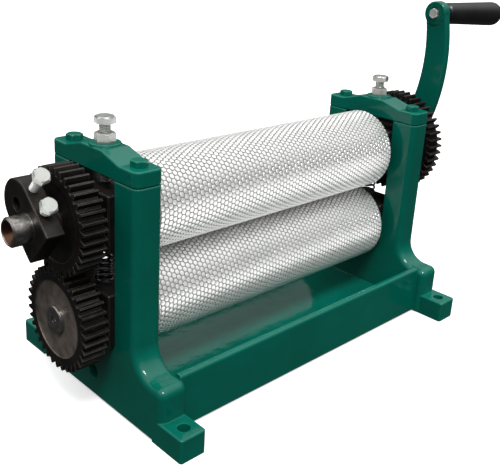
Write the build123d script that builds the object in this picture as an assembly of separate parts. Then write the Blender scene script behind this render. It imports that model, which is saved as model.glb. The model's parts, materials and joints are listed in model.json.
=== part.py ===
from build123d import *
from math import acos, atan2, cos, degrees, pi, radians, sin, sqrt, tan
import os

# Hand-cranked embossing roller mill for beeswax comb sheets.
# X runs along the rollers (gear pair at -X, crank at +X), Y from front to back, Z up.
# The origin is the centre of the four foot holes, on the plane the feet stand on.

# ---- rollers and gears ----
ROLLER_R = 43.5            # over the cell pattern
ROLLER_HALF = 160.0
GEAR_MODULE = 2.5
PRESSURE_ANGLE = 20.0
BACKLASH = 0.16            # taken off each tooth's width at the pitch circle
PAIR_TEETH = 35
DRIVE_TEETH = 45
AXIS_SPACING = GEAR_MODULE * PAIR_TEETH
LOW_Z = 88.5
HIGH_Z = LOW_Z + AXIS_SPACING
LOW_TIP_ANGLE = 3.1        # one tooth tip of the lower gear, from +Y towards +Z
GEAR_WIDTH = 22.0
PAIR_FACE_X = -236.0       # outer face of the gear pair
DRIVE_FACE_X = 239.0       # outer face of the large gear
FACE_RECESS_R = 34.0

# ---- bed casting ----
OUTER_X = 200.0            # outer face of each end frame
FRAME_T = 28.0
INNER_X = OUTER_X - FRAME_T
MID_X = OUTER_X - FRAME_T / 2
EAR_Y = 125.0
EAR_W = 26.0
EAR_H = 22.0
FOOT_HOLE = (187.0, 112.0)
FOOT_HOLE_R = 5.5
BLOCK_Y = 99.0             # front face of the foot block
BLOCK_TOP = 52.0
POST_Y = 62.0
FLARE_R = 22.0
POST_TOP = 213.0
EDGE_R = 7.0
EAR_EDGE_R = 2.5
SHOULDER_R = 7.6           # top front edge of the foot block
SLOT_Y = 33.8
SLOT_FLOOR = 63.5
RELIEF = 2.0               # the casting stands on its ears only
RAIL_Y = 90.0
RAIL_T = 8.0
RAIL_TOP = 53.0
FLOOR_TOP = 11.0
DRAIN = (25.0, 7.0)        # height and radius

# ---- bridge caps and their fasteners ----
PAD_TOP = 226.5
CROWN_TOP = 233.5
BOSS_TOP = 235.4
BOSS_R = 15.0
CAP_BOLT_Y = 47.0
M6 = {"r": 3.0, "flats": 10.0, "head": 4.0, "nut": 5.2}
M8 = {"r": 4.0, "flats": 13.0, "head": 5.3, "nut": 6.8}
M10 = {"r": 5.0, "flats": 16.0, "head": 6.4, "nut": 8.2}
FIT = 0.05                 # radial play of a screw in its hole
SCREW_LENGTH = 50.0

# ---- bearing blocks ----
BLOCK_HALF_Y = 33.5
BLOCK_HALF_H = 25.0
BLOCK_IN_X = 166.0
BLOCK_OUT_X = 206.0
BUSH_R = 16.0
JOURNAL_R = 12.5
RUNNING = 0.05             # radial clearance of the journals
POCKET_R = 9.6
POCKET_DEPTH = 3.0
SPRING_R = 7.2             # mean coil radius
SPRING_WIRE_R = 1.2
SPRING_TURNS = 8

# ---- shafts and keys ----
CORE_R = 15.0
SHOULDER_X = 165.8
HIGH_LEFT_X = -275.0
HIGH_GEAR_X = 240.0
FREE_END_R = 12.25         # the free end is turned down so that the arm slides on
CRANK_SEAT_R = 10.0
CRANK_END_X = 262.0
LOW_LEFT_X = -238.0
LOW_RIGHT_X = 212.0
KEY = (8.0, 7.0)           # width and height
KEY_DEPTH = 4.0            # in the shaft
LOW_KEY_ANGLE = -48.0

# ---- clamp arm on the free shaft end ----
ARM_X = (-259.0, -243.0)
ARM_ANGLE = 42.5           # from +Y towards +Z
ARM_HALF = 21.0
ARM_MIDDLE = 1.6           # the arm's middle line, above the shaft centre
ARM_FLAT = ARM_MIDDLE + ARM_HALF
ARM_TAIL = 22.0            # shaft centre to the square end
ARM_PIN = 21.5             # shaft centre to the pin hole, along the arm
ARM_PIN_R = 6.0
ARM_HUB_R = 15.0

# ---- crank ----
CRANK_X = (250.0, 260.0)
CRANK_REACH = 152.5
CRANK_TILT = 7.4           # spindle leans to the front of the shaft
CRANK_BOW = 14.5
CRANK_HUB_R = 21.0
CRANK_TIP_R = 13.5
CRANK_ROOT_HALF = 16.0
CRANK_NECK_HALF = 13.0
GRIP_X = (268.6, 391.0)
GRIP_R = (12.0, 14.5)
GRIP_DROP = 2.0            # the grip's outer end hangs this many degrees low
SPINDLE_END_X = 374.0


def x_rod(radius, x0, x1, y=0.0, z=0.0):
    """A round bar along X."""
    return Pos((x0 + x1) / 2, y, z) * Rot(0, 90, 0) * Cylinder(radius, abs(x1 - x0))


def z_rod(radius, z0, z1, x=0.0, y=0.0):
    """A round bar along Z."""
    return Pos(x, y, (z0 + z1) / 2) * Cylinder(radius, z1 - z0)


def block(x, y, z):
    """A box given by its low and high X, Y and Z."""
    size = [b - a for a, b in (x, y, z)]
    return Pos(*[(a + b) / 2 for a, b in (x, y, z)]) * Box(*size)


def x_plate(face, x0, x1):
    """A flat YZ outline made solid between two X positions."""
    return Pos(x0, 0, 0) * extrude(Plane.YZ * face, x1 - x0)


def hexagon(flats, z0, z1, bore=0.0):
    """A hexagon along Z whose upper corners are turned off at 30 degrees."""
    height = z1 - z0
    corner = flats / sqrt(3)
    body = extrude(RegularPolygon(corner, 6), height)
    rise = (corner - 0.47 * flats) * tan(radians(30))
    cone = [(0, 0), (corner + 1, 0), (corner + 1, height - rise - 0.58)]
    cone += [(0.47 * flats, height), (0, height)]
    body &= revolve(Plane.XZ * make_face(Polyline(*cone, close=True)), Axis.Z)
    if bore:
        body -= z_rod(bore, -1, height + 1)
    return Pos(0, 0, z0) * body


def hex_bolt(size, length):
    """A hexagon bolt pointing down, with the underside of its head at the origin."""
    shank = z_rod(size["r"], -length, 0)
    shank = chamfer(shank.edges().group_by(Axis.Z)[0], 0.8)
    return hexagon(size["flats"], 0, size["head"]) + shank


# ---------------------------------------------------------------- bed casting
def end_outline():
    """Half of an end frame seen along X: foot block, flare and post, without the slot."""
    top_front = BLOCK_TOP - SHOULDER_R
    path = [
        Line((0, RELIEF), (BLOCK_Y, RELIEF)),
        Line((BLOCK_Y, RELIEF), (BLOCK_Y, top_front)),
        CenterArc((BLOCK_Y - SHOULDER_R, top_front), SHOULDER_R, 0, 90),
        Line((BLOCK_Y - SHOULDER_R, BLOCK_TOP), (POST_Y + FLARE_R, BLOCK_TOP)),
        CenterArc((POST_Y + FLARE_R, BLOCK_TOP + FLARE_R), FLARE_R, 180, 90),
        Line((POST_Y, BLOCK_TOP + FLARE_R), (POST_Y, POST_TOP)),
        Line((POST_Y, POST_TOP), (0, POST_TOP)),
        Line((0, POST_TOP), (0, RELIEF)),
    ]
    return make_face(path)


def end_frame():
    """One end frame on the +X side."""
    half = end_outline()
    body = x_plate(half + mirror(half, Plane.YZ), INNER_X, OUTER_X)
    upright = body.edges().filter_by(Axis.Z)
    posts = [e for e in upright if abs(abs(e.center().Y) - POST_Y) < 0.01]
    body = fillet(posts, EDGE_R)
    body = chamfer(body.faces().sort_by(Axis.Z)[-1].edges(), 1.0)
    slot = block((INNER_X - 1, OUTER_X + 1), (-SLOT_Y, SLOT_Y), (SLOT_FLOOR, POST_TOP + 1))
    body -= slot
    for y in (-CAP_BOLT_Y, CAP_BOLT_Y):
        body -= z_rod(M8["r"] + FIT, POST_TOP - 28, POST_TOP + 1, MID_X, y)
    return body


def ear(y_side):
    """One bolt-down ear on the +X side, at the front (-1) or the back (+1)."""
    y = sorted((y_side * (BLOCK_Y - 12), y_side * EAR_Y))
    body = block((OUTER_X - EAR_W, OUTER_X), y, (0, EAR_H))
    outer = body.faces().sort_by(Axis.Y)[0 if y_side < 0 else -1]
    body = fillet(outer.edges().filter_by(Axis.Z), EAR_EDGE_R)
    top = body.faces().sort_by(Axis.Z)[-1]
    return chamfer(top.edges(), 1.0)


def bed_frame():
    """The one-piece casting: two end frames, two rails, the tray floor and four ears."""
    rail = block((-INNER_X - 1, INNER_X + 1), (RAIL_Y - RAIL_T, RAIL_Y), (RELIEF, RAIL_TOP))
    rail = fillet(rail.faces().sort_by(Axis.Z)[-1].edges().filter_by(Axis.X), 3.0)
    body = block((-INNER_X - 1, INNER_X + 1), (-RAIL_Y + 1, RAIL_Y - 1), (RELIEF, FLOOR_TOP))
    body += [rail, mirror(rail, Plane.XZ)]
    for side in (1, -1):
        end = end_frame() + [ear(-1), ear(1)]
        body += end if side > 0 else mirror(end, Plane.YZ)
    for x in (-FOOT_HOLE[0], FOOT_HOLE[0]):
        for y in (-FOOT_HOLE[1], FOOT_HOLE[1]):
            body -= z_rod(FOOT_HOLE_R, -1, EAR_H + 1, x, y)
    body -= x_rod(DRAIN[1], -OUTER_X - 1, -INNER_X + 1, 0, DRAIN[0])
    return body


# ---------------------------------------------------------------- caps
def cap():
    """The bridge cap of the +X end, with its round boss for the adjusting screw."""
    crown_y, pad_y = 15.0, 39.0
    outline = [(-POST_Y, POST_TOP), (POST_Y, POST_TOP), (POST_Y, PAD_TOP), (pad_y, PAD_TOP)]
    outline += [(crown_y, CROWN_TOP), (-crown_y, CROWN_TOP), (-pad_y, PAD_TOP), (-POST_Y, PAD_TOP)]
    body = x_plate(make_face(Polyline(*outline, close=True)), INNER_X, OUTER_X)
    ends = [e for e in body.edges().filter_by(Axis.Z) if abs(abs(e.center().Y) - POST_Y) < 0.01]
    body = fillet(ends, EDGE_R)
    body = fillet(body.faces().sort_by(Axis.Z)[-1].edges().filter_by(Axis.X), 6.0)
    upper = [e for e in body.edges() if e.center().Z > POST_TOP + 13 and e.length > 1.0]
    upper = [e for e in upper if abs(e.center().X - MID_X) > 1 or abs(e.center().Y) > POST_Y - 1]
    body = fillet(upper, 1.6)
    body = chamfer(body.faces().sort_by(Axis.Z)[0].edges(), 1.0)
    boss = z_rod(BOSS_R - 1.4, CROWN_TOP - 6, BOSS_TOP, MID_X)
    body += fillet(boss.edges().group_by(Axis.Z)[-1], 1.0)
    body -= z_rod(M10["r"] + FIT, POST_TOP - 1, BOSS_TOP + 1, MID_X)
    for y in (-CAP_BOLT_Y, CAP_BOLT_Y):
        body -= z_rod(M8["r"] + 0.5, POST_TOP - 1, PAD_TOP + 1, MID_X, y)
    return body


def cap_bolts():
    """The two bolts of the +X cap."""
    bolt = hex_bolt(M8, PAD_TOP - POST_TOP + 26)
    return [Pos(MID_X, y, PAD_TOP) * Rot(0, 0, 22) * bolt for y in (-CAP_BOLT_Y, CAP_BOLT_Y)]


def adjusting_screw():
    """The +X adjusting screw, its tip just on top of the upper bearing block."""
    seat = HIGH_Z + BLOCK_HALF_H + 0.05
    return Pos(MID_X, 0, seat + SCREW_LENGTH) * Rot(0, 0, 15) * hex_bolt(M10, SCREW_LENGTH)


def lock_nut():
    """The +X lock nut, tightened down on the cap's boss."""
    nut = hexagon(M10["flats"], BOSS_TOP, BOSS_TOP + M10["nut"], M10["r"] + FIT)
    return Pos(MID_X, 0, 0) * Rot(0, 0, -15) * nut


# ---------------------------------------------------------------- bearings
def bearing_block(axis_z, pocket_side):
    """One +X bearing block: bored for its bush, with a spring pocket above or below."""
    y = (-BLOCK_HALF_Y, BLOCK_HALF_Y)
    z = (axis_z - BLOCK_HALF_H, axis_z + BLOCK_HALF_H)
    body = block((BLOCK_IN_X, BLOCK_OUT_X), y, z)
    body = chamfer(body.edges(), 1.0)
    body -= x_rod(BUSH_R, BLOCK_IN_X - 1, BLOCK_OUT_X + 1, 0, axis_z)
    face = z[1] if pocket_side > 0 else z[0]
    pocket = (face - POCKET_DEPTH, face + 1) if pocket_side > 0 else (face - 1, face + POCKET_DEPTH)
    return body - z_rod(POCKET_R, *pocket, MID_X)


def bush(axis_z):
    """One +X bronze bush."""
    body = x_rod(BUSH_R, BLOCK_IN_X, BLOCK_OUT_X, 0, axis_z)
    body -= x_rod(JOURNAL_R + RUNNING, BLOCK_IN_X - 1, BLOCK_OUT_X + 1, 0, axis_z)
    return chamfer(body.edges(), 0.5)


def lift_spring():
    """The +X coil spring between the two bearing blocks, standing in their pockets."""
    low = LOW_Z + BLOCK_HALF_H - POCKET_DEPTH + SPRING_WIRE_R
    high = HIGH_Z - BLOCK_HALF_H + POCKET_DEPTH - SPRING_WIRE_R - 0.3
    height = high - low
    path = Helix(height / SPRING_TURNS, height, SPRING_R)
    wire = sweep(Plane(path @ 0, z_dir=path % 0) * Circle(SPRING_WIRE_R), path, is_frenet=True)
    return Pos(MID_X, 0, low) * wire


# ---------------------------------------------------------------- gears
def involute_point(base_r, radius, turn):
    """The point of an involute at a radius, its start turned from +Y by an angle."""
    alpha = acos(min(1.0, base_r / radius))
    angle = turn + tan(alpha) - alpha
    return (radius * cos(angle), radius * sin(angle))


def gear_outline(teeth):
    """A spur gear's face in its own plane, one tooth tip on the first axis."""
    pitch_r = GEAR_MODULE * teeth / 2
    base_r = pitch_r * cos(radians(PRESSURE_ANGLE))
    tip_r = pitch_r + GEAR_MODULE
    root_r = pitch_r - 1.25 * GEAR_MODULE
    alpha = radians(PRESSURE_ANGLE)
    half = (pi * GEAR_MODULE / 2 - BACKLASH) / (2 * pitch_r) + tan(alpha) - alpha
    steps = [base_r + (tip_r - base_r) * i / 5 for i in range(6)]
    right = [involute_point(base_r, r, -half) for r in steps]
    left = [(x, -y) for x, y in reversed(right)]
    space = pi / teeth
    tooth = [
        Line((root_r * cos(half), -root_r * sin(half)), right[0]),
        Spline(*right),
        ThreePointArc(right[-1], (tip_r, 0), left[0]),
        Spline(*left),
        Line(left[-1], (root_r * cos(half), root_r * sin(half))),
    ]
    ahead = 2 * space - half
    start = (root_r * cos(half), root_r * sin(half))
    middle = (root_r * cos(space), root_r * sin(space))
    tooth.append(ThreePointArc(start, middle, (root_r * cos(ahead), root_r * sin(ahead))))
    turns = [Rot(0, 0, 360 * i / teeth) for i in range(teeth)]
    return make_face([turn * edge for turn in turns for edge in tooth])


def gear(teeth, tip_angle, x0, hub_x, axis_z, key_angle):
    """A keyed spur gear GEAR_WIDTH wide from x0, with a hub reaching to hub_x."""
    x1 = x0 + GEAR_WIDTH
    body = x_plate(Rot(0, 0, tip_angle) * gear_outline(teeth), x0, x1)
    outer_x = x0 if hub_x > x1 else x1
    recess_r = FACE_RECESS_R * teeth / PAIR_TEETH
    body -= x_rod(recess_r, outer_x - 1, outer_x + 1)
    body += x_rod(19.0, min(hub_x, x0 + 5), max(hub_x, x1 - 5))
    body -= x_rod(JOURNAL_R, -300, 300)
    body -= key_room((-300, 300), key_angle, JOURNAL_R)
    return Pos(0, 0, axis_z) * body


def key_room(x, angle, shaft_r, play=0.0):
    """The square room a key takes between a shaft and its hub."""
    low = shaft_r - KEY_DEPTH
    half = KEY[0] / 2 - play
    return Rot(angle, 0, 0) * block(x, (low, low + KEY[1] - play), (-half, half))


def key(x, axis_z, angle, shaft_r=JOURNAL_R):
    """A parallel key in its keyway."""
    return Pos(0, 0, axis_z) * key_room(x, angle, shaft_r, 0.02)


# ---------------------------------------------------------------- rollers and shafts
def roller(axis_z):
    """A solid aluminium roller, bored for its shaft."""
    body = x_rod(ROLLER_R, -ROLLER_HALF, ROLLER_HALF, 0, axis_z)
    body = chamfer(body.edges(), 0.6)
    return body - x_rod(CORE_R, -ROLLER_HALF - 1, ROLLER_HALF + 1, 0, axis_z)


def centre_drill(x, inward):
    """The lathe centre in a shaft end."""
    cone = make_face(Polyline((0, 0), (9, 0), (7, 1.2), (2.5, 3.4), (0, 3.4), close=True))
    body = revolve(Plane.XY * cone, Axis.X)
    return Pos(x, 0, 0) * (body if inward > 0 else mirror(body, Plane.YZ))


def free_end_cone():
    """The deep turned cone in the free end of the driven shaft."""
    cone = Polyline((0, 0), (0, 9.8), (1.0, 9.2), (9.0, 3.0), (14.0, 2.2), (14.0, 0), close=True)
    return Pos(HIGH_LEFT_X, 0, 0) * revolve(Plane.XY * make_face(cone), Axis.X)


def shaft_low():
    """The lower roller's shaft."""
    body = x_rod(CORE_R, -SHOULDER_X, SHOULDER_X)
    journal = x_rod(JOURNAL_R, LOW_LEFT_X, LOW_RIGHT_X)
    body += chamfer(journal.edges(), 1.0)
    body -= [centre_drill(LOW_LEFT_X, 1), centre_drill(LOW_RIGHT_X, -1)]
    body -= key_room(low_key_x(), LOW_KEY_ANGLE, JOURNAL_R)
    return Pos(0, 0, LOW_Z) * body


def shaft_high():
    """The driven shaft: clamp arm and gear on the left, large gear and crank on the right."""
    body = x_rod(CORE_R, -SHOULDER_X, SHOULDER_X)
    journal = x_rod(JOURNAL_R, ARM_X[0], HIGH_GEAR_X)
    body += chamfer(journal.faces().sort_by(Axis.X)[-1].edges(), 1.5)
    free_end = x_rod(FREE_END_R, HIGH_LEFT_X, ARM_X[0] + 1)
    body += chamfer(free_end.faces().sort_by(Axis.X)[0].edges(), 1.5)
    body += x_rod(CRANK_SEAT_R, HIGH_GEAR_X - 1, CRANK_END_X)
    body -= free_end_cone()
    body -= x_rod(M8["r"] + FIT, CRANK_END_X - 24, CRANK_END_X + 1)
    body -= key_room(pair_key_x(), 90, JOURNAL_R)
    body -= key_room(drive_key_x(), 90, JOURNAL_R)
    body -= key_room(crank_key_x(), 90, CRANK_SEAT_R)
    return Pos(0, 0, HIGH_Z) * body


def low_key_x():
    return (PAIR_FACE_X - 0.5, PAIR_FACE_X + GEAR_WIDTH)


def pair_key_x():
    return (PAIR_FACE_X + 1, PAIR_FACE_X + GEAR_WIDTH)


def drive_key_x():
    return (DRIVE_FACE_X - GEAR_WIDTH, DRIVE_FACE_X - 1)


def crank_key_x():
    return (HIGH_GEAR_X + 2, CRANK_END_X - 2)


# ---------------------------------------------------------------- clamp arm
def arm_place(along, across):
    """A point of the clamp arm: along its length from the shaft centre, and across it."""
    x = (ARM_X[0] + ARM_X[1]) / 2
    return Pos(0, 0, HIGH_Z) * Rot(ARM_ANGLE, 0, 0) * Pos(x, along, across)


def clamp_arm():
    """The black arm clamped on the free shaft end, round at its pin hole."""
    outline = [
        Line((-ARM_TAIL, ARM_FLAT), (-ARM_TAIL, ARM_FLAT - 2 * ARM_HALF)),
        Line((-ARM_TAIL, ARM_FLAT - 2 * ARM_HALF), (ARM_PIN, ARM_FLAT - 2 * ARM_HALF)),
        CenterArc((ARM_PIN, ARM_MIDDLE), ARM_HALF, -90, 180),
        Line((ARM_PIN, ARM_FLAT), (-ARM_TAIL, ARM_FLAT)),
    ]
    body = x_plate(make_face(outline), *ARM_X)
    body = chamfer(body.edges(), 0.8)
    body += x_rod(ARM_HUB_R, ARM_X[1] - 2, PAIR_FACE_X)
    body -= x_rod(JOURNAL_R, ARM_X[0] - 1, PAIR_FACE_X + 1)
    body -= x_rod(ARM_PIN_R, ARM_X[0] - 1, ARM_X[1] + 1, ARM_PIN, ARM_MIDDLE)
    body = Pos(0, 0, HIGH_Z) * Rot(ARM_ANGLE, 0, 0) * body
    for along in (0.0, ARM_PIN):
        body -= arm_place(along, ARM_FLAT / 2) * Cylinder(M8["r"] + FIT, ARM_FLAT + 2)
    return body


def arm_bolt(along, proud, bottom):
    """A set bolt in the arm's flat edge, its head standing proud, its tip at bottom."""
    under_head = ARM_FLAT + proud
    return arm_place(along, under_head) * Rot(0, 0, 12) * hex_bolt(M8, under_head - bottom)


# ---------------------------------------------------------------- crank
def crank_place():
    """Turns a crank drawn upright on the X axis to its rest position on the shaft."""
    return Pos(0, 0, HIGH_Z) * Rot(CRANK_TILT, 0, 0)


def spindle_place():
    """Lays the grip's axis through the crank tip, its outer end a little low."""
    tip = Pos(CRANK_X[0], 0, CRANK_REACH)
    return tip * Rot(-CRANK_TILT, 0, 0) * Rot(0, GRIP_DROP, 0) * Pos(-CRANK_X[0], 0, 0)


def crank_outline():
    """The bowed arm seen along X: wide at the hub, narrow below the tip boss."""
    half_chord = CRANK_REACH / 2
    arc_r = (half_chord ** 2 + CRANK_BOW ** 2) / (2 * CRANK_BOW)
    centre = (arc_r - CRANK_BOW, half_chord)
    sweep_angle = degrees(atan2(half_chord, arc_r - CRANK_BOW))
    sides = []
    for sign in (-1, 1):
        points = []
        for i in range(7):
            t = i / 6
            width = CRANK_ROOT_HALF + (CRANK_NECK_HALF - CRANK_ROOT_HALF) * t
            r = arc_r + sign * width
            turn = radians(180 + sweep_angle * (1 - 2 * t))
            points.append((centre[0] + r * cos(turn), centre[1] + r * sin(turn)))
        sides.append(points)
    inner, outer = sides
    path = [Spline(*inner), Line(inner[-1], outer[-1])]
    path += [Spline(*reversed(outer)), Line(outer[0], inner[0])]
    return make_face(path)


def crank_arm():
    """The cast crank: hub on the shaft seat, bowed arm, boss for the grip spindle."""
    plate = x_plate(crank_outline(), *CRANK_X)
    flat = [e for f in plate.faces().filter_by(Axis.X) for e in f.edges() if e.length > 60]
    body = fillet(flat, 2.2)
    hub = x_rod(CRANK_HUB_R, HIGH_GEAR_X + 0.5, CRANK_END_X)
    body += chamfer(hub.edges(), 1.0)
    tip = x_rod(CRANK_TIP_R, CRANK_X[0] - 1, CRANK_X[1] + 1, 0, CRANK_REACH)
    body += chamfer(tip.edges(), 1.0)
    body -= spindle_place() * x_rod(7.5, CRANK_X[0] - 4, CRANK_X[0])
    body -= spindle_place() * x_rod(M6["r"] + FIT, CRANK_X[0] - 2, CRANK_X[1] + 3)
    body -= x_rod(CRANK_SEAT_R, HIGH_GEAR_X, CRANK_END_X + 1)
    body -= key_room((HIGH_GEAR_X, CRANK_END_X + 1), 90 - CRANK_TILT, CRANK_SEAT_R)
    return crank_place() * body


def along_x(x):
    """Lays a bolt drawn pointing down so that it points to +X, head underside at x."""
    return Pos(x, 0, 0) * Rot(0, -90, 0)


def end_washer():
    """The washer that closes the crank hub."""
    body = x_rod(15.0, CRANK_END_X, CRANK_END_X + 2.5) - x_rod(M8["r"] + 0.2, 200, 300)
    return crank_place() * body


def end_bolt():
    """The bolt in the shaft end that holds the crank."""
    bolt = Pos(CRANK_END_X + 2.5, 0, 0) * Rot(0, 90, 0) * hex_bolt(M8, 22)
    return crank_place() * bolt


def grip_spindle():
    """The long bolt through the crank tip; the grip turns on it, held by its broad end."""
    length = SPINDLE_END_X - CRANK_X[0]
    body = along_x(CRANK_X[0]) * hex_bolt(M6, length)
    body += x_rod(5.0, SPINDLE_END_X - 3, SPINDLE_END_X)
    return crank_place() * spindle_place() * body


def spindle_nut():
    """The nut that fixes the spindle in the crank."""
    nut = hexagon(M6["flats"], 0, M6["nut"], M6["r"] + FIT)
    return crank_place() * spindle_place() * Pos(CRANK_X[1] + 1.6, 0, 0) * Rot(0, 90, 0) * nut


def grip():
    """The turning grip: a slightly conical barrel with a domed end."""
    x0, x1 = GRIP_X
    r0, r1 = GRIP_R
    dome = x1 - r1
    outline = [
        Line((x0, 0), (x0, r0 - 2)),
        Line((x0, r0 - 2), (x0 + 2, r0)),
        Line((x0 + 2, r0), (dome, r1)),
        CenterArc((dome, 0), r1, 90, -90),
        Line((x1, 0), (x0, 0)),
    ]
    body = revolve(Plane.XY * make_face(outline), Axis.X)
    body -= x_rod(M6["r"] + 0.08, x0 - 1, SPINDLE_END_X)
    body -= x_rod(5.3, SPINDLE_END_X - 3.4, SPINDLE_END_X + 0.4)
    return crank_place() * spindle_place() * body


# ---------------------------------------------------------------- assembly
def both_ends(name, solids):
    """A +X node and its mirror image at -X."""
    solids = solids if isinstance(solids, list) else [solids]
    return {
        name + "_right": solids,
        name + "_left": [mirror(s, Plane.YZ) for s in solids],
    }


def meshing_angle():
    """The tip angle of the upper gear that puts a tooth in the lower gear's gap."""
    pitch = 360 / PAIR_TEETH
    return -LOW_TIP_ANGLE + pitch / 2


def assembly():
    """Every node, by name, as a list of solids."""
    nodes = {"bed_frame": [bed_frame()]}
    nodes.update(both_ends("cap", cap()))
    nodes.update(both_ends("cap_bolts", cap_bolts()))
    nodes.update(both_ends("adjusting_screw", adjusting_screw()))
    nodes.update(both_ends("lock_nut", lock_nut()))
    nodes.update(both_ends("bearing_block_lower", bearing_block(LOW_Z, 1)))
    nodes.update(both_ends("bearing_block_upper", bearing_block(HIGH_Z, -1)))
    nodes.update(both_ends("bush_lower", bush(LOW_Z)))
    nodes.update(both_ends("bush_upper", bush(HIGH_Z)))
    nodes.update(both_ends("lift_spring", lift_spring()))
    nodes["roller_lower"] = [roller(LOW_Z)]
    nodes["roller_upper"] = [roller(HIGH_Z)]
    nodes["shaft_lower"] = [shaft_low()]
    nodes["shaft_upper"] = [shaft_high()]
    low_gear = (PAIR_TEETH, LOW_TIP_ANGLE, PAIR_FACE_X, -BLOCK_OUT_X - 1, LOW_Z, LOW_KEY_ANGLE)
    high_gear = (PAIR_TEETH, meshing_angle(), PAIR_FACE_X, -BLOCK_OUT_X - 1, HIGH_Z, 90)
    large = (DRIVE_TEETH, 0.0, DRIVE_FACE_X - GEAR_WIDTH, BLOCK_OUT_X + 1, HIGH_Z, 90)
    nodes["gear_lower"] = [gear(*low_gear)]
    nodes["gear_upper"] = [gear(*high_gear)]
    nodes["gear_large"] = [gear(*large)]
    nodes["key_gear_lower"] = [key(low_key_x(), LOW_Z, LOW_KEY_ANGLE)]
    nodes["key_gear_upper"] = [key(pair_key_x(), HIGH_Z, 90)]
    nodes["key_gear_large"] = [key(drive_key_x(), HIGH_Z, 90)]
    nodes["key_crank"] = [key(crank_key_x(), HIGH_Z, 90, CRANK_SEAT_R)]
    nodes["clamp_arm"] = [clamp_arm()]
    nodes["clamp_bolt_shaft"] = [arm_bolt(0.0, 6.5, JOURNAL_R + 0.02)]
    nodes["clamp_bolt_pin"] = [arm_bolt(ARM_PIN, 15.5, ARM_MIDDLE + ARM_PIN_R + 0.1)]
    nodes["crank_arm"] = [crank_arm()]
    nodes["crank_washer"] = [end_washer()]
    nodes["crank_bolt"] = [end_bolt()]
    nodes["grip_spindle"] = [grip_spindle()]
    nodes["spindle_nut"] = [spindle_nut()]
    nodes["grip"] = [grip()]
    return nodes


os.makedirs("parts", exist_ok=True)
for node, solids in assembly().items():
    shape = solids[0] if len(solids) == 1 else Compound(children=solids)
    shape.label = node
    export_step(shape, f"parts/{node}.step")
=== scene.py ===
import json
import math

import bmesh
import bpy
from mathutils import Matrix, Vector

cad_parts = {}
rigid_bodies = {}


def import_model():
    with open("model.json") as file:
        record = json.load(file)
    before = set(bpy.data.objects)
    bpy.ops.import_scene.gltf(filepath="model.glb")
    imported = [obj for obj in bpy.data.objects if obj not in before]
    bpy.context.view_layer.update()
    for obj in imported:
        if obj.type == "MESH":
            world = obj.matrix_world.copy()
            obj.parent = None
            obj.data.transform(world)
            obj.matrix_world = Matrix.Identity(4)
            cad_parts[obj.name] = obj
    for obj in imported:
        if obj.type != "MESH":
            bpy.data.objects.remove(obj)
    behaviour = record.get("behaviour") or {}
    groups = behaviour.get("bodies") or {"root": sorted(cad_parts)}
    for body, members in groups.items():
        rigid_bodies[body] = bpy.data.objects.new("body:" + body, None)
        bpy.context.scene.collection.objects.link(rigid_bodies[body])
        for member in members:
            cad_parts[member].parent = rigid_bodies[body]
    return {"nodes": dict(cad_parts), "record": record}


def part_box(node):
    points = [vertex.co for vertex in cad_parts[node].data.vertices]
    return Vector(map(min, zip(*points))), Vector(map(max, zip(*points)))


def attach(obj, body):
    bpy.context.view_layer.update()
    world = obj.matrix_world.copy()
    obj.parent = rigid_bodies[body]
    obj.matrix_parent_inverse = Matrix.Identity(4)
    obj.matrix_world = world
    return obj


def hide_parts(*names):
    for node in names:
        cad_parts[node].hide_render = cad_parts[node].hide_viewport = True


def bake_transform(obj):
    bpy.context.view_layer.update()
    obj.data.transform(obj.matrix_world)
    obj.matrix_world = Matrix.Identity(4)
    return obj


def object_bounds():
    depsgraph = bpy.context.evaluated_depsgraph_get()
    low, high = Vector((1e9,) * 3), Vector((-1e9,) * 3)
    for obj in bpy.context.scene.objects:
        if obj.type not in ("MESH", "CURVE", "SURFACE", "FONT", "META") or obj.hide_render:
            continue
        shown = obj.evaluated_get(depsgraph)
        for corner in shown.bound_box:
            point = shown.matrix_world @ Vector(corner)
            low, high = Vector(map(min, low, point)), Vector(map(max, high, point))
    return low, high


# The looks of a hand-cranked embossing roller mill, round its CAD frame. Metres, Z up.
# X runs along the rollers: the gear pair is at -X and the crank at +X.

# ---- camera ----
CAM_AZIMUTH, CAM_ELEVATION, CAM_ROLL = -44.67, 18.73, 3.24
CAM_TARGET = Vector((-0.02891, -0.00432, 0.16606))
CAM_DISTANCE = 0.73779
CAM_LENS = 53.99
CAM_SHIFT = (0.01416, -0.09136)

# ---- comb pattern of the rollers ----
CELL_ROWS = 54             # cells in one ring round the roller
RING_STEP = 0.00448        # from one ring to the next, which sits half a cell round
FIRST_RING = {"roller_upper": (-0.00159, 180.0), "roller_lower": (0.00084, 180.7)}
GROOVE_DEPTH = 0.0013
GROOVE_FLOOR = 0.88        # size of the boss at each height, as a share of its cell
BOSS_SHOULDER = 0.79
BOSS_RIM = 0.71

# ---- screws ----
M8 = {"r": 0.004, "pitch": 0.00125, "flats": 0.013, "head": 0.0053}
M10 = {"r": 0.005, "pitch": 0.0015, "flats": 0.016, "head": 0.0064}
CLAMP_BOLT_TURN = Matrix.Rotation(math.radians(12), 4, "Z")
SCREW_TURN = Matrix.Rotation(math.radians(15), 4, "Z")
ARM_ANGLE = 42.5           # the clamp arm, from +Y towards +Z
ARM_MID_X = -0.251
ARM_FLAT = 0.0226          # shaft centre to the arm's flat edge
ARM_PIN = 0.0215
HIGH_AXIS = Vector((0, 0, 0.176))
CONE_MOUTH_R = 0.0095      # the cone in the free shaft end
ROLLER_R = 0.0435
ROLLER_BORE = 0.015
END_RING = 0.021           # from the bore to an edge loop on the flat end face

# ---- springs ----
SPRING_R = 0.0072
SPRING_WIRE = 0.0012
SPRING_TURNS = 8
SPRING_CLOSED = 0.055      # share of the wire in each closed end turn
SPRING_OPEN = 0.93         # share of the height that the open turns take up

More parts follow.
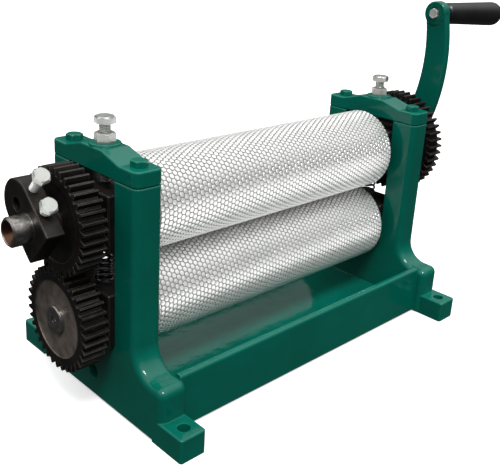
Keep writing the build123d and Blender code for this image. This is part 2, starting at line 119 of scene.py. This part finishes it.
# ---- light: the room's glow by height, 0 at the horizon and below, 1 straight up ----
ROOM = ((0.0, 0.05), (0.3, 0.12), (0.55, 0.9), (1.0, 1.6))
ROOM_TOP = 1.6
FLOOR_GLOW = 1.5
FLOOR_GLOW_SIZE = (2.4, 2.4)

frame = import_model()
cad_low, cad_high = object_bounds()


# ---------------------------------------------------------------- shader helpers
class Nodes:
    """A material's node tree, with short names for what the materials below use."""

    def __init__(self, name):
        self.material = bpy.data.materials.new(name)
        self.material.use_nodes = True
        self.tree = self.material.node_tree
        self.bsdf = self.tree.nodes["Principled BSDF"]
        self.place = self.add("ShaderNodeTexCoord").outputs["Object"]

    def add(self, kind, **settings):
        node = self.tree.nodes.new(kind)
        for key, value in settings.items():
            setattr(node, key, value)
        return node

    def link(self, source, target):
        self.tree.links.new(source, target)

    def set(self, **values):
        """Constants on the surface shader's own sockets."""
        for key, value in values.items():
            self.bsdf.inputs[key.replace("_", " ")].default_value = value

    def noise(self, scale, detail=3.0, rough=0.5, place=None, distortion=0.0):
        node = self.add("ShaderNodeTexNoise")
        node.inputs["Scale"].default_value = scale
        node.inputs["Detail"].default_value = detail
        node.inputs["Roughness"].default_value = rough
        node.inputs["Distortion"].default_value = distortion
        self.link(place or self.place, node.inputs["Vector"])
        return node.outputs["Fac"]

    def scaled(self, x, y, z):
        """The object's own coordinates stretched along its axes."""
        node = self.add("ShaderNodeMapping")
        node.inputs["Scale"].default_value = (x, y, z)
        self.link(self.place, node.inputs["Vector"])
        return node.outputs["Vector"]

    def ramp(self, source, stops):
        """Maps a value through grey or coloured stops: (position, value or colour)."""
        node = self.add("ShaderNodeValToRGB")
        elements = node.color_ramp.elements
        while len(elements) < len(stops):
            elements.new(0.5)
        for element, (position, value) in zip(elements, stops):
            element.position = position
            element.color = (*value, 1) if isinstance(value, tuple) else (value,) * 3 + (1,)
        self.link(source, node.inputs["Fac"])
        return node.outputs["Color"]

    def math(self, operation, a, b=None):
        node = self.add("ShaderNodeMath", operation=operation)
        for socket, value in zip(node.inputs, (a, b)):
            if value is None:
                continue
            if isinstance(value, (int, float)):
                socket.default_value = value
            else:
                self.link(value, socket)
        return node.outputs["Value"]

    def mix(self, share, a, b):
        """A mix of two colours, each a socket or an RGB tuple."""
        node = self.add("ShaderNodeMix", data_type="RGBA")
        if isinstance(share, (int, float)):
            node.inputs["Factor"].default_value = share
        else:
            self.link(share, node.inputs["Factor"])
        for name, value in (("A", a), ("B", b)):
            socket = [s for s in node.inputs if s.name == name and s.type == "RGBA"][0]
            if isinstance(value, tuple):
                socket.default_value = (*value, 1)
            else:
                self.link(value, socket)
        return [s for s in node.outputs if s.type == "RGBA"][0]

    def bump(self, height, distance, strength=1.0, normal=None):
        node = self.add("ShaderNodeBump")
        node.inputs["Distance"].default_value = distance
        node.inputs["Strength"].default_value = strength
        self.link(height, node.inputs["Height"])
        if normal is not None:
            self.link(normal, node.inputs["Normal"])
        return node.outputs["Normal"]

    def edges(self, radius, low, high):
        """1 on convex and concave edges within a radius, 0 on flat ground."""
        bevel = self.add("ShaderNodeBevel", samples=4)
        bevel.inputs["Radius"].default_value = radius
        dot = self.add("ShaderNodeVectorMath", operation="DOT_PRODUCT")
        self.link(bevel.outputs["Normal"], dot.inputs[0])
        self.link(self.add("ShaderNodeNewGeometry").outputs["Normal"], dot.inputs[1])
        return self.ramp(dot.outputs["Value"], [(low, 1.0), (high, 0.0)])

    def from_axis(self, y, z):
        """The distance from a line along X."""
        split = self.add("ShaderNodeSeparateXYZ")
        self.link(self.place, split.inputs[0])
        dy = self.math("SUBTRACT", split.outputs["Y"], y)
        dz = self.math("SUBTRACT", split.outputs["Z"], z)
        squares = self.math("ADD", self.math("MULTIPLY", dy, dy), self.math("MULTIPLY", dz, dz))
        return self.math("SQRT", squares)

    def rounded(self, radius):
        """The surface normal with its edges rounded off."""
        bevel = self.add("ShaderNodeBevel", samples=4)
        bevel.inputs["Radius"].default_value = radius
        return bevel.outputs["Normal"]

    def finish(self, colour, roughness, normal):
        self.link(colour, self.bsdf.inputs["Base Color"])
        self.link(roughness, self.bsdf.inputs["Roughness"])
        self.link(normal, self.bsdf.inputs["Normal"])
        return self.material


# ---------------------------------------------------------------- materials
def green_enamel():
    """Thick glossy enamel brushed over an as-cast surface."""
    n = Nodes("green_enamel")
    n.set(Specular_IOR_Level=0.0, Coat_Weight=0.75, Coat_Roughness=0.07, Coat_IOR=1.5)
    cloud = n.noise(14, 4)
    colour = n.ramp(cloud, [(0.3, (0.0006, 0.118, 0.083)), (0.7, (0.0010, 0.152, 0.108))])
    # Edges turn a lighter green in patches: partly thinner enamel, partly a painted edge highlight.
    thin_paint_and_edge_highlight = n.math("MULTIPLY", n.edges(0.0022, 0.90, 0.99), n.noise(160, 3))
    colour = n.mix(thin_paint_and_edge_highlight, colour, (0.010, 0.24, 0.18))
    rough = n.ramp(n.noise(60, 4), [(0.3, 0.35), (0.7, 0.45)])
    cast = n.bump(n.noise(55, 2), 0.0012, 0.35, n.rounded(0.0012))
    peel = n.bump(n.noise(300, 3), 0.00022, 0.5, cast)
    n.link(peel, n.bsdf.inputs["Coat Normal"])
    return n.finish(colour, rough, peel)


def aluminium(name, axis_z, radius):
    """Bright matt aluminium with faint scuffs, and painted shade darkening the grooves of a comb pattern.
    """
    n = Nodes(name)
    n.set(Metallic=0.7)
    bright = n.ramp(n.noise(40, 3), [(0.3, (0.88, 0.88, 0.87)), (0.7, (0.95, 0.945, 0.935))])
    # Painted shade: the colour darkens with depth into the grooves, standing in for the shade inside
    # them.
    depth = n.math("DIVIDE", n.math("SUBTRACT", radius, n.from_axis(0.0, axis_z)), GROOVE_DEPTH)
    painted_groove_shade = n.ramp(depth, [(0.25, 0.0), (0.75, 1.0)])
    colour = n.mix(painted_groove_shade, bright, (0.44, 0.44, 0.43))
    rough = n.ramp(n.noise(300, 3), [(0.3, 0.27), (0.7, 0.37)])
    return n.finish(colour, rough, n.bump(n.noise(2600, 2), 0.00004, 0.4))


def black_oxide(name="black_oxide", face=None):
    """Oxide-black cast iron, rubbed brighter on its edges. face lightens a machined disc."""
    n = Nodes(name)
    n.set(Metallic=0.55, Specular_IOR_Level=0.4)
    colour = n.ramp(n.noise(70, 5), [(0.3, (0.010, 0.009, 0.009)), (0.75, (0.032, 0.026, 0.022))])
    worn = n.math("MULTIPLY", n.edges(0.0009, 0.88, 0.99), n.noise(260, 3))
    colour = n.mix(worn, colour, (0.22, 0.20, 0.18))
    rough = n.ramp(n.noise(120, 4), [(0.3, 0.34), (0.7, 0.52)])
    grain = n.bump(n.noise(420, 4), 0.0002, 0.7, n.rounded(0.0004))
    if face is None:
        return n.finish(colour, rough, grain)
    centre, radius, plane = face
    split = n.add("ShaderNodeSeparateXYZ")
    n.link(n.place, split.inputs[0])
    distance = n.from_axis(centre.y, centre.z)
    inside = n.math("LESS_THAN", distance, radius)
    outer = n.math("LESS_THAN", n.math("ABSOLUTE", n.math("SUBTRACT", split.outputs["X"], plane)), 0.002)
    disc = n.math("MULTIPLY", inside, outer)
    rings = n.math("SINE", n.math("MULTIPLY", distance, 2 * math.pi / 0.0009))
    stain = n.ramp(n.noise(90, 5), [(0.3, (0.13, 0.105, 0.085)), (0.7, (0.30, 0.26, 0.23))])
    colour = n.mix(disc, colour, stain)
    turned = n.bump(n.math("MULTIPLY", rings, disc), 0.00003, 0.6, grain)
    return n.finish(colour, rough, turned)


def plated(name, low, high, rough, metallic=1.0):
    """A bright metal with slight clouding and fine brushing."""
    n = Nodes(name)
    n.set(Metallic=metallic)
    colour = n.ramp(n.noise(90, 4), [(0.3, low), (0.7, high)])
    worn = n.math("MULTIPLY", n.edges(0.0005, 0.85, 0.99), 0.5)
    colour = n.mix(worn, colour, tuple(min(1.0, c * 1.25) for c in high))
    brushing = n.noise(900, 3, place=n.scaled(0.15, 1, 1))
    roughness = n.ramp(brushing, [(0.3, rough - 0.06), (0.7, rough + 0.08)])
    return n.finish(colour, roughness, n.bump(brushing, 0.00004, 0.5, n.rounded(0.0003)))


def shaft_steel(axis_z):
    """Turned steel, mottled by handling and brown in the cone of the shaft on that axis."""
    n = Nodes("bright_steel")
    n.set(Metallic=1.0)
    clean = n.ramp(n.noise(260, 5), [(0.35, (0.24, 0.225, 0.21)), (0.65, (0.46, 0.44, 0.42))])
    deep = n.math("LESS_THAN", n.from_axis(0.0, axis_z), CONE_MOUTH_R)
    colour = n.mix(deep, clean, (0.11, 0.056, 0.034))
    rough = n.ramp(n.noise(300, 3), [(0.3, 0.26), (0.7, 0.40)])
    return n.finish(colour, rough, n.bump(n.noise(900, 3), 0.00004, 0.5, n.rounded(0.0003)))


def moulded_black():
    """Glossy moulded plastic, faintly pebbled and scuffed."""
    n = Nodes("black_plastic")
    n.set(Specular_IOR_Level=0.5)
    colour = n.ramp(n.noise(50, 4), [(0.3, (0.006, 0.006, 0.007)), (0.7, (0.014, 0.014, 0.015))])
    rough = n.ramp(n.noise(200, 4), [(0.3, 0.30), (0.7, 0.38)])
    return n.finish(colour, rough, n.bump(n.noise(700, 2), 0.00005, 0.3))


def pale_floor():
    n = Nodes("pale_floor")
    n.set(Specular_IOR_Level=0.2, Emission_Color=(1, 1, 1, 1), Emission_Strength=0.5)
    colour = n.ramp(n.noise(3, 2), [(0.3, (0.86, 0.86, 0.86)), (0.7, (0.88, 0.88, 0.88))])
    rough = n.ramp(n.noise(20, 2), [(0.3, 0.6), (0.7, 0.7)])
    return n.finish(colour, rough, n.bump(n.noise(200, 2), 0.0001, 0.1))


LOW_GEAR_FACE = (Vector((0, 0, 0.0885)), 0.034, -0.2355)
MATERIALS = {
    "green_enamel": green_enamel(),
    "aluminium": aluminium("aluminium", HIGH_AXIS.z, ROLLER_R),
    "black_oxide": black_oxide(),
    "zinc": plated("zinc", (0.46, 0.47, 0.44), (0.60, 0.61, 0.58), 0.34, 0.8),
    "bright_steel": shaft_steel(HIGH_AXIS.z),
    "spring_steel": plated("spring_steel", (0.16, 0.16, 0.17), (0.26, 0.26, 0.27), 0.32),
    "bronze": plated("bronze", (0.50, 0.32, 0.14), (0.66, 0.45, 0.22), 0.30),
    "black_plastic": moulded_black(),
}


def dress_cad_nodes():
    """Gives each CAD node the material of its slot in the record."""
    for part in frame["record"]["subparts"]:
        node = frame["nodes"][part["node"]]
        node.data.materials.clear()
        node.data.materials.append(MATERIALS[part["material_slot"]])
    face = black_oxide("gear_lower_iron", LOW_GEAR_FACE)
    frame["nodes"]["gear_lower"].data.materials[0] = face


# ---------------------------------------------------------------- mesh helpers
def as_object(name, bm, slot):
    """A new object from a bmesh, in its slot's material."""
    bmesh.ops.recalc_face_normals(bm, faces=bm.faces)
    mesh = bpy.data.meshes.new(name)
    bm.to_mesh(mesh)
    bm.free()
    obj = bpy.data.objects.new(name, mesh)
    bpy.context.scene.collection.objects.link(obj)
    mesh.materials.append(MATERIALS[slot])
    return obj


def centre_of(node):
    low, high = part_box(node)
    return (low + high) / 2


# ---------------------------------------------------------------- rollers
def boss(bm, x, turn, radius):
    """One raised comb cell: three rhombic facets on a hexagonal boss. Returns its foot ring."""
    along, round_ = RING_STEP / 1.5, 2 * math.pi / CELL_ROWS / math.sqrt(3)
    rings = []
    heights = ((GROOVE_FLOOR, -GROOVE_DEPTH, -GROOVE_DEPTH), (BOSS_SHOULDER, -0.00035, -0.00042))
    heights += ((BOSS_RIM, -0.00006, -0.00022),)
    for share, near, far in heights:
        ring = []
        for k in range(6):
            corner = math.radians(60 * k)
            r = radius + (near if k % 2 else far)
            angle = turn + round_ * share * math.sin(corner)
            place = (x + along * share * math.cos(corner), r * math.cos(angle), r * math.sin(angle))
            ring.append(bm.verts.new(place))
        rings.append(ring)
    top = bm.verts.new((x, radius * math.cos(turn), radius * math.sin(turn)))
    for low, high in zip(rings, rings[1:]):
        for k in range(6):
            bm.faces.new((low[k], low[(k + 1) % 6], high[(k + 1) % 6], high[k]))
    rim = rings[-1]
    for k in (1, 3, 5):
        bm.faces.new((top, rim[k], rim[(k + 1) % 6], rim[(k + 2) % 6]))
    return rings[0]


def comb_surface(bm, radius, half, first):
    """The embossed mantle, a little longer than the roller, with its groove floors."""
    x0, turn0 = first
    row_turn = 2 * math.pi / CELL_ROWS
    reach = math.ceil(half / RING_STEP) + 1
    feet = {}
    for ring in range(-reach, reach + 1):
        for row in range(CELL_ROWS):
            turn = math.radians(turn0) + (row + 0.5 * (ring % 2)) * row_turn
            feet[ring, row] = boss(bm, x0 + ring * RING_STEP, turn, radius)
    for (ring, row), foot in feet.items():
        above = feet[ring, (row + 1) % CELL_ROWS]
        bm.faces.new((foot[2], foot[1], above[5], above[4]))
        if ring == reach:
            continue
        ahead = feet[ring + 1, (row + ring % 2) % CELL_ROWS]
        behind = feet[ring + 1, (row - 1 + ring % 2) % CELL_ROWS]
        bm.faces.new((foot[0], ahead[4], ahead[3], foot[1]))
        bm.faces.new((foot[5], behind[3], behind[2], foot[0]))
        bm.faces.new((foot[0], behind[2], ahead[4]))
        bm.faces.new((foot[1], ahead[3], above[5]))


def close_end(bm, x, bore):
    """Cuts the mantle square at x and closes the end face down to the bore."""
    normal = (1 if x > 0 else -1, 0, 0)
    geometry = bm.verts[:] + bm.edges[:] + bm.faces[:]
    cut = bmesh.ops.bisect_plane(bm, geom=geometry, plane_co=(x, 0, 0), plane_no=normal, clear_outer=True)
    rim = [e for e in cut["geom_cut"] if isinstance(e, bmesh.types.BMEdge)]
    for radius in (bore + END_RING, bore):
        ring = bmesh.ops.extrude_edge_only(bm, edges=rim)["geom"]
        for vertex in (v for v in ring if isinstance(v, bmesh.types.BMVert)):
            flat = Vector((0, vertex.co.y, vertex.co.z)).normalized() * radius
            vertex.co = Vector((x, flat.y, flat.z))
        rim = [e for e in ring if isinstance(e, bmesh.types.BMEdge) and e.is_boundary]
    return rim


def embossed_roller(node, body):
    """The roller of a CAD node with its comb pattern, on the same axis."""
    low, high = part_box(node)
    radius = (high.z - low.z) / 2
    bm = bmesh.new()
    comb_surface(bm, radius, high.x, FIRST_RING[node])
    rims = close_end(bm, high.x, ROLLER_BORE) + close_end(bm, low.x, ROLLER_BORE)
    bmesh.ops.bridge_loops(bm, edges=rims)
    bmesh.ops.translate(bm, vec=(0, 0, (low.z + high.z) / 2), verts=bm.verts)
    roller = as_object(node + "_embossed", bm, "aluminium")
    roller.data.materials[0] = aluminium("aluminium_" + node, (low.z + high.z) / 2, radius)
    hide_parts(node)
    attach(roller, body)


# ---------------------------------------------------------------- threaded bolts
def hex_head(bm, flats, height):
    """A forged head from z 0 up: hexagon, turned-off corners, washer face below."""
    corner = flats / math.sqrt(3)
    rings = []
    levels = ((0.94 * flats / 2, 0.0, 24), (0.97 * flats / 2, 0.0003, 24))
    for radius, z, count in levels:
        rings.append([bm.verts.new((radius * math.cos(a), radius * math.sin(a), z))
                      for a in (2 * math.pi * i / count for i in range(count))])
    for z, limit in ((0.0003, corner), (height * 0.8, corner), (height, 0.94 * flats / 2)):
        ring = []
        for i in range(24):
            a = 2 * math.pi * i / 24
            reach = min(limit, flats / 2 / math.cos(a % (math.pi / 3) - math.pi / 6))
            ring.append(bm.verts.new((reach * math.cos(a), reach * math.sin(a), z)))
        rings.append(ring)
    for low, high in zip(rings, rings[1:]):
        for i in range(24):
            j = (i + 1) % 24
            bm.faces.new((low[i], low[j], high[j], high[i]))
    bm.faces.new(rings[0][::-1])
    bm.faces.new(rings[-1])


def thread(bm, major, pitch, length):
    """A threaded shank from z 0 down, tapered at its tip."""
    depth = 0.61 * pitch
    steps = 20
    turns = length / pitch
    rings = []
    total = int(turns * steps)
    profile = ((0.0, 1.0), (0.12, 1.0), (0.5, 0.0), (0.62, 0.0))
    for i in range(total + 1):
        a = 2 * math.pi * i / steps
        z0 = -pitch * i / steps
        points = []
        for share, rise in profile:
            z = max(-length, min(0.0, z0 - share * pitch))
            tip = max(0.0, 1 - (length + z) / (1.2 * pitch))
            r = major - depth * (1 - rise) - tip * depth * rise
            points.append(bm.verts.new((r * math.cos(a), r * math.sin(a), z)))
        rings.append(points)
    for first, second in zip(rings, rings[1:]):
        for k in range(3):
            bm.faces.new((first[k], first[k + 1], second[k + 1], second[k]))
    for i in range(total + 1 - steps):
        a, b = rings[i], rings[i + 1] if i + 1 < len(rings) else None
        c, d = rings[i + steps], rings[i + steps + 1] if i + steps + 1 < len(rings) else None
        if b and d:
            bm.faces.new((a[3], c[0], d[0], b[3]))


def threaded_bolt(node, body, size, length, place):
    """A bolt pointing down its own -Z, laid at place, standing for a CAD node."""
    bm = bmesh.new()
    hex_head(bm, size["flats"], size["head"])
    thread(bm, size["r"], size["pitch"], length)
    bolt = as_object(node + "_threaded", bm, "zinc")
    bolt.matrix_world = place
    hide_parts(node)
    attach(bolt, body)


def adjusting_screws():
    """Both screws through the caps: each CAD box gives the place, the head is its top."""
    for side in ("left", "right"):
        node = "adjusting_screw_" + side
        low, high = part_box(node)
        head = high.z - M10["head"]
        place = Matrix.Translation((*centre_of(node).xy, head)) @ SCREW_TURN
        threaded_bolt(node, "screw_" + side, M10, head - low.z, place)


def clamp_bolts():
    """The two set bolts in the clamp arm's flat edge."""
    for node, along, proud, tip in (
        ("clamp_bolt_shaft", 0.0, 0.0065, 0.01252),
        ("clamp_bolt_pin", ARM_PIN, 0.0155, 0.0077),
    ):
        turn = Matrix.Rotation(math.radians(ARM_ANGLE), 4, "X")
        under_head = ARM_FLAT + proud
        offset = Matrix.Translation((ARM_MID_X, along, under_head))
        place = Matrix.Translation(HIGH_AXIS) @ turn @ offset @ CLAMP_BOLT_TURN
        threaded_bolt(node, "upper_roller", M8, under_head - tip, place)


# ---------------------------------------------------------------- springs
def coil_spring(side):
    """A coil with closed, flattened end turns, standing in the CAD spring's box."""
    node = "lift_spring_" + side
    low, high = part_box(node)
    x, y = centre_of(node).xy
    bottom, top = low.z + SPRING_WIRE, high.z - SPRING_WIRE
    bm = bmesh.new()
    steps, sides = 28, 10
    total = (SPRING_TURNS + 1) * steps
    rings = []
    for i in range(total + 1):
        t = i / total
        turn = 2 * math.pi * (SPRING_TURNS + 1) * t
        share = max(0.0, min(1.0, (t - SPRING_CLOSED) / (1 - 2 * SPRING_CLOSED)))
        z = bottom + (top - bottom) * (share * SPRING_OPEN + t * (1 - SPRING_OPEN))
        out = Vector((math.cos(turn), math.sin(turn), 0))
        ring = []
        for k in range(sides):
            a = 2 * math.pi * k / sides
            ring.append(bm.verts.new(Vector((x, y, z)) + out * (SPRING_R + SPRING_WIRE * math.cos(a))
                                     + Vector((0, 0, SPRING_WIRE * math.sin(a)))))
        rings.append(ring)
    for first, second in zip(rings, rings[1:]):
        for k in range(sides):
            bm.faces.new((first[k], first[(k + 1) % sides], second[(k + 1) % sides], second[k]))
    bm.faces.new(rings[0])
    bm.faces.new(rings[-1][::-1])
    spring = as_object(node + "_coil", bm, "spring_steel")
    for face in spring.data.polygons:
        face.use_smooth = True
    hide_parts(node)
    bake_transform(spring)


# ---------------------------------------------------------------- stage
def make_camera():
    azimuth, elevation = math.radians(CAM_AZIMUTH), math.radians(CAM_ELEVATION)
    back = Vector((
        math.sin(azimuth) * math.cos(elevation),
        -math.cos(azimuth) * math.cos(elevation),
        math.sin(elevation),
    ))
    right = (-back).cross(Vector((0, 0, 1))).normalized()
    up = right.cross(-back)
    turn = Matrix((right, up, back)).transposed().to_4x4()
    roll = Matrix.Rotation(math.radians(CAM_ROLL), 4, "Z")
    camera = bpy.data.objects.new("camera", bpy.data.cameras.new("camera"))
    bpy.context.scene.collection.objects.link(camera)
    camera.matrix_world = Matrix.Translation(CAM_TARGET + back * CAM_DISTANCE) @ turn @ roll
    camera.data.lens = CAM_LENS
    camera.data.shift_x, camera.data.shift_y = CAM_SHIFT
    camera.data.clip_start = 0.01
    bpy.context.scene.camera = camera


def lamp(name, azimuth, elevation, spread, power):
    """A broad distant light; azimuth 0 comes from the front, negative from the left."""
    light = bpy.data.lights.new(name, "SUN")
    light.energy = power
    light.angle = math.radians(spread)
    obj = bpy.data.objects.new(name, light)
    bpy.context.scene.collection.objects.link(obj)
    a, e = math.radians(azimuth), math.radians(elevation)
    towards = Vector((math.sin(a) * math.cos(e), -math.cos(a) * math.cos(e), math.sin(e)))
    obj.rotation_mode = "QUATERNION"
    obj.rotation_quaternion = towards.to_track_quat("Z", "Y")


def floor_glow():
    """Light from the pale floor, which only the bare metal catches."""
    light = bpy.data.lights.new("floor_glow", "AREA")
    light.shape = "RECTANGLE"
    light.size, light.size_y = FLOOR_GLOW_SIZE
    light.energy = math.pi * light.size * light.size_y * FLOOR_GLOW
    obj = bpy.data.objects.new("floor_glow", light)
    bpy.context.scene.collection.objects.link(obj)
    obj.location = (0, 0, cad_low.z + 0.0005)
    obj.rotation_euler = (math.pi, 0, 0)
    obj.visible_camera = False
    metal = bpy.data.collections.new("bare_metal")
    for piece in bpy.context.scene.objects:
        used = [m.name for m in piece.data.materials] if piece.type == "MESH" else []
        if any(name.startswith(("aluminium", "zinc")) for name in used):
            metal.objects.link(piece)
    obj.light_linking.receiver_collection = metal


def light_studio():
    """A wide soft ceiling over dim walls, and a lamp from the front left."""
    lamp("key", -35, 60, 15, 1.7)
    floor_glow()
    world = bpy.data.worlds.new("studio")
    bpy.context.scene.world = world
    world.use_nodes = True
    tree = world.node_tree
    split = tree.nodes.new("ShaderNodeSeparateXYZ")
    tree.links.new(tree.nodes.new("ShaderNodeTexCoord").outputs["Generated"], split.inputs[0])
    ramp = tree.nodes.new("ShaderNodeValToRGB")
    elements = ramp.color_ramp.elements
    while len(elements) < len(ROOM):
        elements.new(0.5)
    for element, (height, glow) in zip(elements, ROOM):
        element.position = height
        element.color = (glow / ROOM_TOP,) * 3 + (1,)
    tree.links.new(split.outputs["Z"], ramp.inputs["Fac"])
    room = tree.nodes["Background"]
    tree.links.new(ramp.outputs["Color"], room.inputs["Color"])
    room.inputs["Strength"].default_value = ROOM_TOP
    paper = tree.nodes.new("ShaderNodeBackground")
    paper.inputs["Color"].default_value = (1, 1, 1, 1)
    mix = tree.nodes.new("ShaderNodeMixShader")
    tree.links.new(tree.nodes.new("ShaderNodeLightPath").outputs["Is Camera Ray"], mix.inputs[0])
    tree.links.new(room.outputs[0], mix.inputs[1])
    tree.links.new(paper.outputs[0], mix.inputs[2])
    tree.links.new(mix.outputs[0], tree.nodes["World Output"].inputs["Surface"])
    bpy.context.scene.view_settings.view_transform = "Standard"


def make_floor():
    bm = bmesh.new()
    bmesh.ops.create_grid(bm, x_segments=8, y_segments=8, size=6.0)
    mesh = bpy.data.meshes.new("floor")
    bm.to_mesh(mesh)
    bm.free()
    floor = bpy.data.objects.new("floor", mesh)
    bpy.context.scene.collection.objects.link(floor)
    floor.location.z = cad_low.z - 0.0002
    mesh.materials.append(pale_floor())
    floor.visible_diffuse = False
    floor.visible_glossy = False


dress_cad_nodes()
embossed_roller("roller_upper", "upper_roller")
embossed_roller("roller_lower", "lower_roller")
adjusting_screws()
clamp_bolts()
for side in ("left", "right"):
    coil_spring(side)
make_camera()
light_studio()
make_floor()
